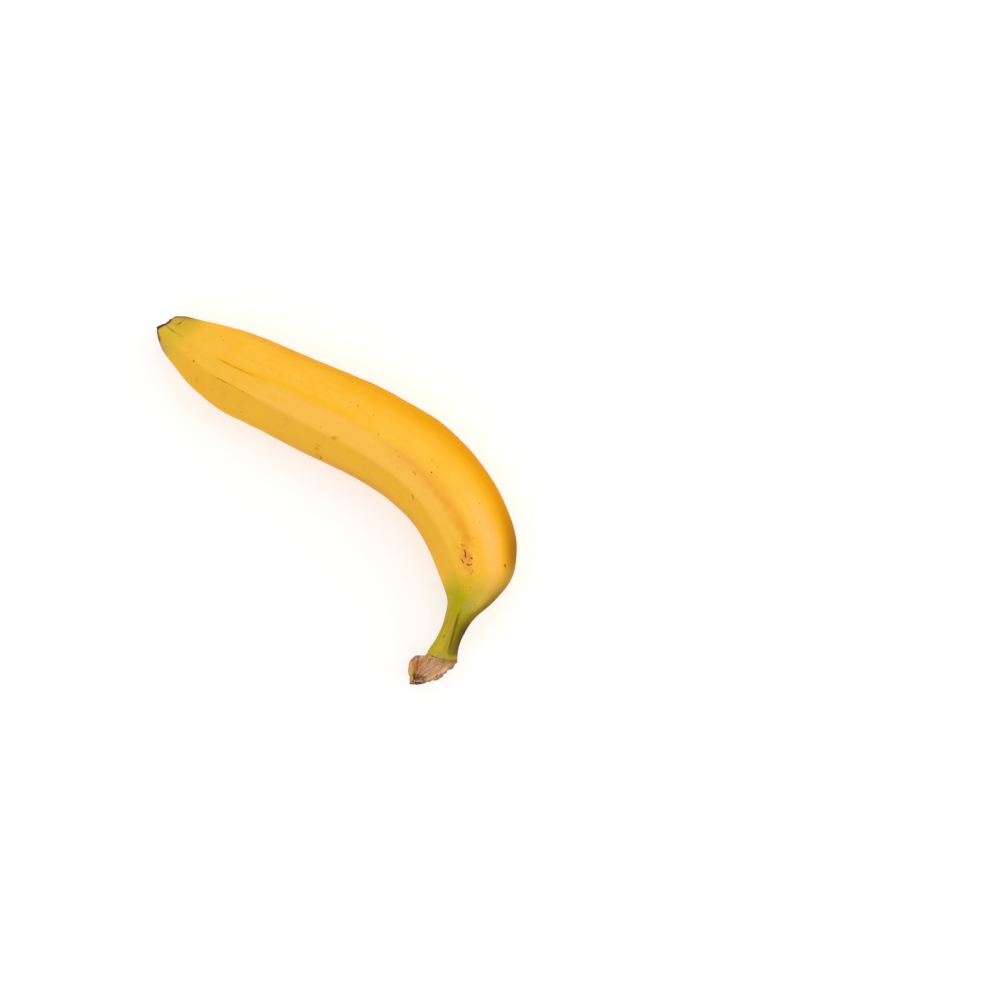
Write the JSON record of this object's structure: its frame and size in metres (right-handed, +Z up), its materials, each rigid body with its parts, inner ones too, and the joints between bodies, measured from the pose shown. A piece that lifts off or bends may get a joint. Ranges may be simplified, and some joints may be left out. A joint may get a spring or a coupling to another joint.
{
  "type": "banana",
  "caption": "Single ripe banana lying on its side, with five soft ridges, a green neck, a torn stub of crown and a dark blunt blossom end.",
  "frame": {"origin": "under the middle of the fruit's box, on the surface that the fruit lies on", "axes": "+Z up, +X along the fruit from the torn stub towards the blossom end, +Y towards the hollow side of the bend"},
  "size_m": [0.1706, 0.0753, 0.0353],
  "materials": {
    "peel": "satin waxy skin",
    "dried_tissue": "matt dry fibre"
  },
  "bodies": {
    "root": {"banana": "peel"}
  },
  "joints": []
}
